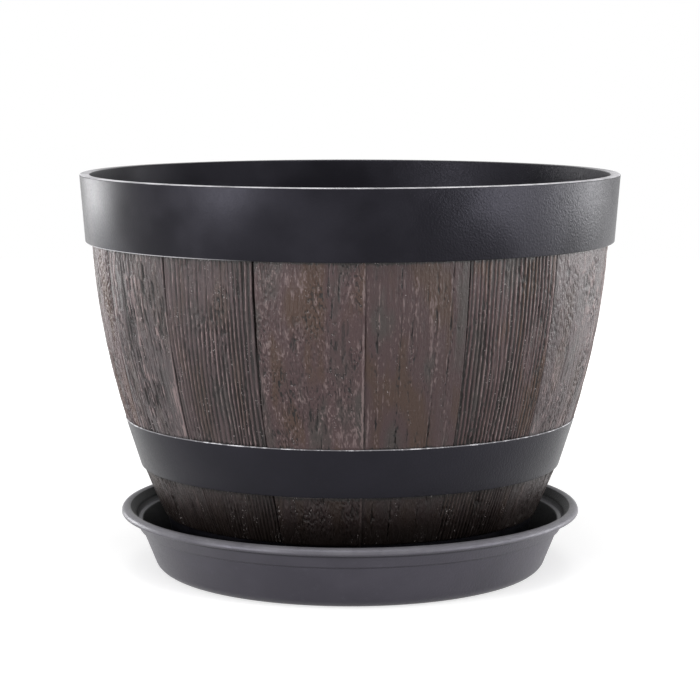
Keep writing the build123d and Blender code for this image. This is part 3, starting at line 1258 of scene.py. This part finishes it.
@dataclass
class Saucer:
    """The loose saucer: foot ring, stepped wall, rolled lip, inner ledge and the ribs on its floor."""

    height: float
    finish: CharcoalMoulding
    floor_r: float = 82.0
    wall_slope: float = 0.40
    wall: float = 1.8
    corner_round: float = 6.0
    step: float = 1.2
    step_height: float = 0.4
    collar_height: float = 5.6
    collar_flare: float = 2.6
    collar_wall: float = 1.4
    lip_depth: float = 3.7
    lip_under: float = 1.8
    lip_overhang: float = 5.0
    rim_width: float = 3.3
    rim_face: float = 2.8
    lip_round: float = 2.3
    inner_drop: float = 2.9
    ledge_drop: float = 5.7
    foot_recess: float = 1.0
    foot_width: float = 4.0
    rib_count: int = 12
    rib_height: float = 2.0
    rib_width: float = 2.0
    rib_reach_r: float = 76.5
    ring_r: float = 22.0
    # Margins of the painted shade within the dish
    dark_margin: float = 0.4
    dark_lip_margin: float = 0.2
    dark_collar_depth: float = 0.9
    dark_wall_share: float = 0.7
    dark_floor_rise: float = 0.5
    dark_rim_drop: float = 0.35
    dark_ledge_margin: float = 0.3

    def wall_r(self, height: float, inset: float = 0.0) -> float:
        """Outer radius of the lower wall.

        Args:
            height: the height at which it is taken.
            inset: how deep below the wall's face it is taken.

        Returns:
            The radius.
        """
        skew = math.hypot(1, self.wall_slope)
        floor_height = self.foot_recess + self.wall
        return self.floor_r + (self.wall - inset) * skew + self.wall_slope * (height - floor_height)

    def collar_r(self, height: float) -> float:
        """Outer radius of the collar between the step and the lip.

        Args:
            height: the height at which it is taken.

        Returns:
            The radius.
        """
        collar_low = self.height - self.lip_depth - self.collar_height
        bottom_r = self.wall_r(collar_low - self.step_height) + self.step
        return bottom_r + self.collar_flare * (height - collar_low) / self.collar_height

    def dish(self) -> Piece:
        """Draw the saucer's section and turn it.

        Returns:
            The dish without its ribs.
        """
        floor = self.foot_recess + self.wall
        lip_low = self.height - self.lip_depth
        collar_low = lip_low - self.collar_height
        step_low = collar_low - self.step_height
        ledge = self.height - self.ledge_drop
        collar_top_r = self.collar_r(lip_low)
        rim_r = collar_top_r + self.lip_overhang
        run = math.tan((math.pi / 2 - math.atan(self.wall_slope)) / 2)
        corner = (self.wall_r(0), 0)
        floor_corner = (self.wall_r(floor, self.wall), floor)
        foot_inner_r = corner[0] - self.corner_round * run - self.foot_width
        step_corners = [(self.wall_r(step_low), step_low), (self.collar_r(collar_low), collar_low)]
        under = [(collar_top_r, lip_low), (collar_top_r + self.lip_under, lip_low)]
        top = self.height
        rim = [(rim_r, top - self.rim_face), (rim_r, top), (rim_r - self.rim_width, top)]
        inner = (collar_top_r - self.collar_wall, self.height - self.inner_drop)
        ledge_outer = (self.collar_r(ledge) - self.collar_wall, ledge)
        ledge_inner = (self.wall_r(ledge, self.wall), ledge)
        ring = (self.ring_r - self.rib_width / 2, self.ring_r + self.rib_width / 2)
        section = Section("saucer_dish", (0, self.foot_recess))
        section.line((foot_inner_r, self.foot_recess), (foot_inner_r, 0), corner)
        section.line(*step_corners, *under, *rim)
        section.line(inner, ledge_outer, ledge_inner, floor_corner)
        rib_top = floor + self.rib_height
        section.line((ring[1], floor), (ring[1], rib_top), (ring[0], rib_top))
        section.line((ring[0], floor), (0, floor)).close()
        section.ease([corner], self.corner_round * run, steps=10)
        section.ease([floor_corner], (self.corner_round - self.wall) * run, steps=6)
        section.ease([rim[1]], self.lip_round, steps=9)
        section.ease([rim[2]], 0.8, steps=4).ease([rim[0]], 0.45)
        section.ease([inner, ledge_inner], 0.5).ease([ledge_outer], 0.3)
        section.ease(step_corners[1:], 0.15).ease(under, 0.3)
        return section.turn()

    def mark_painted_shade(self, piece: Piece) -> None:
        """Mark what lies within the dish, all but its ledge, for painted shade, since hardly any light
        reaches there.

        Args:
            piece: the dish or its ribs.
        """
        points = read_points(piece.data) / MM
        radius, rise = np.hypot(points[:, 0], points[:, 1]), points[:, 2]
        ledge = self.height - self.ledge_drop
        low = rise < ledge - self.dark_margin
        lip_low = self.height - self.lip_depth
        lip_inner_r = self.collar_r(lip_low) + self.lip_overhang - self.rim_width
        above_reach = self.collar_r(rise) - self.dark_collar_depth
        reach = np.where(rise > lip_low, lip_inner_r + self.dark_lip_margin, above_reach)
        reach = np.where(low, self.wall_r(rise, self.dark_wall_share * self.wall), reach)
        within = radius < reach
        within &= rise > self.foot_recess + self.dark_floor_rise
        within &= rise < self.height - self.dark_rim_drop
        at_ledge = np.abs(rise - ledge) < self.dark_margin
        on_ledge = radius > self.wall_r(ledge, self.wall) + self.dark_ledge_margin
        within &= ~(at_ledge & on_ledge)
        write_numbers(piece.data, "inside", within)

    def build(self) -> list[Piece]:
        """Model the dish and its ribs and dress them.

        Returns:
            The dish and the ribs.
        """
        dish = self.dish()
        floor = self.foot_recess + self.wall
        low = (self.ring_r, -self.rib_width / 2, floor - self.wall / 2)
        high = (self.rib_reach_r, self.rib_width / 2, floor + self.rib_height)
        ribs = spokes("saucer_ribs", low, high, self.rib_count, 0.25)
        for piece in (dish, ribs):
            self.mark_painted_shade(piece)
        return dress([dish, ribs], self.finish.material(), 35)


# The studio

@dataclass(frozen=True)
class Softbox:
    """A soft lamp that faces the planter."""

    name: str
    azimuth_deg: float
    elevation_deg: float
    distance: float
    width: float
    height: float
    power: float

    def light(self, target: Vector) -> None:
        """Set up the lamp, out of sight of the camera.

        Args:
            target: the point that it faces.
        """
        lamp = bpy.data.lights.new(self.name, "AREA")
        lamp.shape = "RECTANGLE"
        lamp.size = self.width
        lamp.size_y = self.height
        lamp.energy = self.power
        holder = bpy.data.objects.new(self.name, lamp)
        holder.visible_camera = False
        bpy.context.scene.collection.objects.link(holder)
        azimuth, elevation = math.radians(self.azimuth_deg), math.radians(self.elevation_deg)
        level = self.distance * math.cos(elevation)
        rise = self.distance * math.sin(elevation)
        offset = Vector((level * math.sin(azimuth), -level * math.cos(azimuth), rise))
        holder.location = target + offset
        holder.rotation_euler = (-offset).to_track_quat("-Z", "Y").to_euler()


@dataclass
class Studio:
    """Camera, lamps, pale floor and white surroundings."""

    camera_distance: float = 0.9892
    camera_height: float = 0.2228
    camera_pitch_deg: float = 7.43
    lens: float = 118.9
    sensor: float = 36.0
    near_clip: float = 0.01
    aim_height: float = 0.09
    floor_r: float = 1.5
    floor_colour: Colour = (0.6, 0.6, 0.6)
    floor_lift: Span = (0.62, 1.0)
    lift_reach: Span = (0.18, 0.60)
    ambient: float = 0.10
    softboxes: tuple[Softbox, ...] = (
        Softbox("left_softbox", -51, 7, 0.85, 0.36, 0.34, 5.0),
        Softbox("right_softbox", 60, 4, 0.8, 0.42, 0.24, 3.7),
        Softbox("right_side_softbox", 107, 3, 0.9, 0.55, 0.24, 4.3),
        Softbox("left_back_softbox", -126, 3, 0.95, 0.44, 0.24, 2.8),
        Softbox("overhead_softbox", -8, 56, 1.4, 1.5, 0.35, 12.5),
        Softbox("top_softbox", 20, 85, 1.8, 1.0, 1.0, 8),
    )

    def camera(self) -> None:
        """Set up the camera at the photograph's viewing angle."""
        data = bpy.data.cameras.new("camera")
        data.lens = self.lens
        data.sensor_width = self.sensor
        data.clip_start = self.near_clip
        holder = bpy.data.objects.new("camera", data)
        bpy.context.scene.collection.objects.link(holder)
        holder.location = (0, -self.camera_distance, self.camera_height)
        holder.rotation_euler = (math.radians(90 - self.camera_pitch_deg), 0, 0)
        bpy.context.scene.camera = holder

    def seen_directly(self, tree: bpy.types.NodeTree) -> Socket:
        """Add nodes that tell rays of the camera, gloss and transmission from the rest.

        Args:
            tree: the node tree that they are added to.

        Returns:
            A socket that is 1 for those rays and 0 for all others.
        """
        path = tree.nodes.new("ShaderNodeLightPath")
        total = path.outputs["Is Camera Ray"]
        for name in ("Is Glossy Ray", "Is Transmission Ray"):
            node = tree.nodes.new("ShaderNodeMath")
            node.operation = "MAXIMUM"
            tree.links.new(total, node.inputs[0])
            tree.links.new(path.outputs[name], node.inputs[1])
            total = node.outputs[0]
        return total

    def floor(self) -> Piece:
        """Lay the pale floor, which looks white where no shadow falls.

        Returns:
            The floor.
        """
        deselect_all()
        bpy.ops.mesh.primitive_circle_add(vertices=96, radius=self.floor_r, fill_type="NGON")
        piece = bpy.context.object
        piece.name = "studio_floor"
        graph = ShaderGraph("studio_floor")
        graph.shader.inputs["Base Color"].default_value = (*self.floor_colour, 1.0)
        graph.shader.inputs["Roughness"].default_value = 0.9
        graph.shader.inputs["Specular IOR Level"].default_value = 0.0
        graph.shader.inputs["Emission Color"].default_value = (1.0, 1.0, 1.0, 1.0)
        place = graph.add("TexCoord").outputs["Object"]
        distance = graph.add("VectorMath", {"operation": "LENGTH"}, Vector=place)
        spread = graph.step(distance.outputs["Value"], *self.lift_reach, *self.floor_lift)
        lift = graph.math("MULTIPLY", self.seen_directly(graph.tree), spread)
        graph.feed(graph.shader.inputs["Emission Strength"], lift)
        piece.data.materials.append(graph.material)
        return piece

    def world(self) -> None:
        """Surround the scene with white, dimmer for the light that it gives."""
        world = bpy.data.worlds.new("studio")
        world.use_nodes = True
        bpy.context.scene.world = world
        tree = world.node_tree
        background = tree.nodes["Background"]
        background.inputs["Color"].default_value = (1.0, 1.0, 1.0, 1.0)
        spread = tree.nodes.new("ShaderNodeMapRange")
        spread.inputs["To Min"].default_value = self.ambient
        spread.inputs["To Max"].default_value = 1.0
        tree.links.new(self.seen_directly(tree), spread.inputs["Value"])
        tree.links.new(spread.outputs["Result"], background.inputs["Strength"])

    def build(self) -> None:
        """Set up the whole studio."""
        bpy.context.scene.view_settings.view_transform = "Standard"
        self.camera()
        self.world()
        self.floor()
        target = Vector((0, 0, self.aim_height))
        for softbox in self.softboxes:
            softbox.light(target)


def corners(bounds: Sequence[Sequence[float]]) -> list[list[float]]:
    """A box's two corners as plain lists."""
    return [[float(value) for value in corner] for corner in bounds]


def main() -> None:
    """Build the planter piece by piece around the frame."""
    logging.basicConfig(level=logging.INFO, format="%(message)s")
    pot_low, pot_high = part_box("barrel_pot")
    saucer_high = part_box("saucer")[1]
    form = BarrelForm(seat=pot_low.z / MM, top=pot_high.z / MM, rim_r=pot_high.y / MM)
    band_colour = (0.0062, 0.0059, 0.0078)
    # Painted highlights sit this far inside the bands' edges
    painted_highlight_inset = 0.1
    # The top band has painted highlights on its rim and on the left of its lower edge
    top_band_finish = CharcoalMoulding(
        "top_band_moulding",
        band_colour,
        0.34,
        painted_highlight_heights=(form.top,),
        painted_left_highlight_height=form.band_foot + painted_highlight_inset,
        blotch=0.22,
        smooth_left=True,
    )
    # The lower band has a broken painted highlight along its top ledge
    low_band_finish = CharcoalMoulding(
        "low_band_moulding",
        band_colour,
        0.34,
        specular=0.17,
        painted_highlight_heights=(form.low_band[1] - painted_highlight_inset,),
        painted_highlight_cell=7.0,
        painted_highlight_level=(0.48, 0.58),
        smooth_left=True,
    )
    lining_colour = (0.0034, 0.0032, 0.0046)
    lining_finish = CharcoalMoulding(
        "lining_moulding", lining_colour, 0.36, specular=0.15, blotch=0.85
    )
    saucer_top = saucer_high.z / MM
    # The saucer has a painted highlight on its lip and painted shade in its two creases
    saucer_finish = CharcoalMoulding(
        "saucer_moulding",
        (0.036, 0.0335, 0.041),
        0.38,
        specular=0.3,
        painted_highlight_heights=(saucer_top,),
        painted_highlight_reach=3.6,
        painted_highlight_colour=(0.115, 0.112, 0.122),
        painted_highlight_level=(0.1, 0.75),
        painted_crease_heights=(18.3, 23.2),
        smooth_left=True,
    )
    assemblies = (
        (TopBand(form, top_band_finish), "pot", "barrel_pot", "barrel_moulding"),
        (StaveWall(form, DryBrushedStave()), "pot", "barrel_pot", "barrel_moulding"),
        (LowBand(form, low_band_finish), "pot", "barrel_pot", "barrel_moulding"),
        (PotLining(form, lining_finish), "pot", "barrel_pot", "barrel_moulding"),
        (Saucer(saucer_top, saucer_finish), "saucer", "saucer", "saucer_moulding"),
    )
    for assembly, body, node, slot in assemblies:
        for piece in assembly.build():
            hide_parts(node)
            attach(piece, body)
            log.info("%s: %d faces, rides on %s", piece.name, len(piece.data.polygons), body)
    Studio().build()


if __name__ == "__main__":
    main()
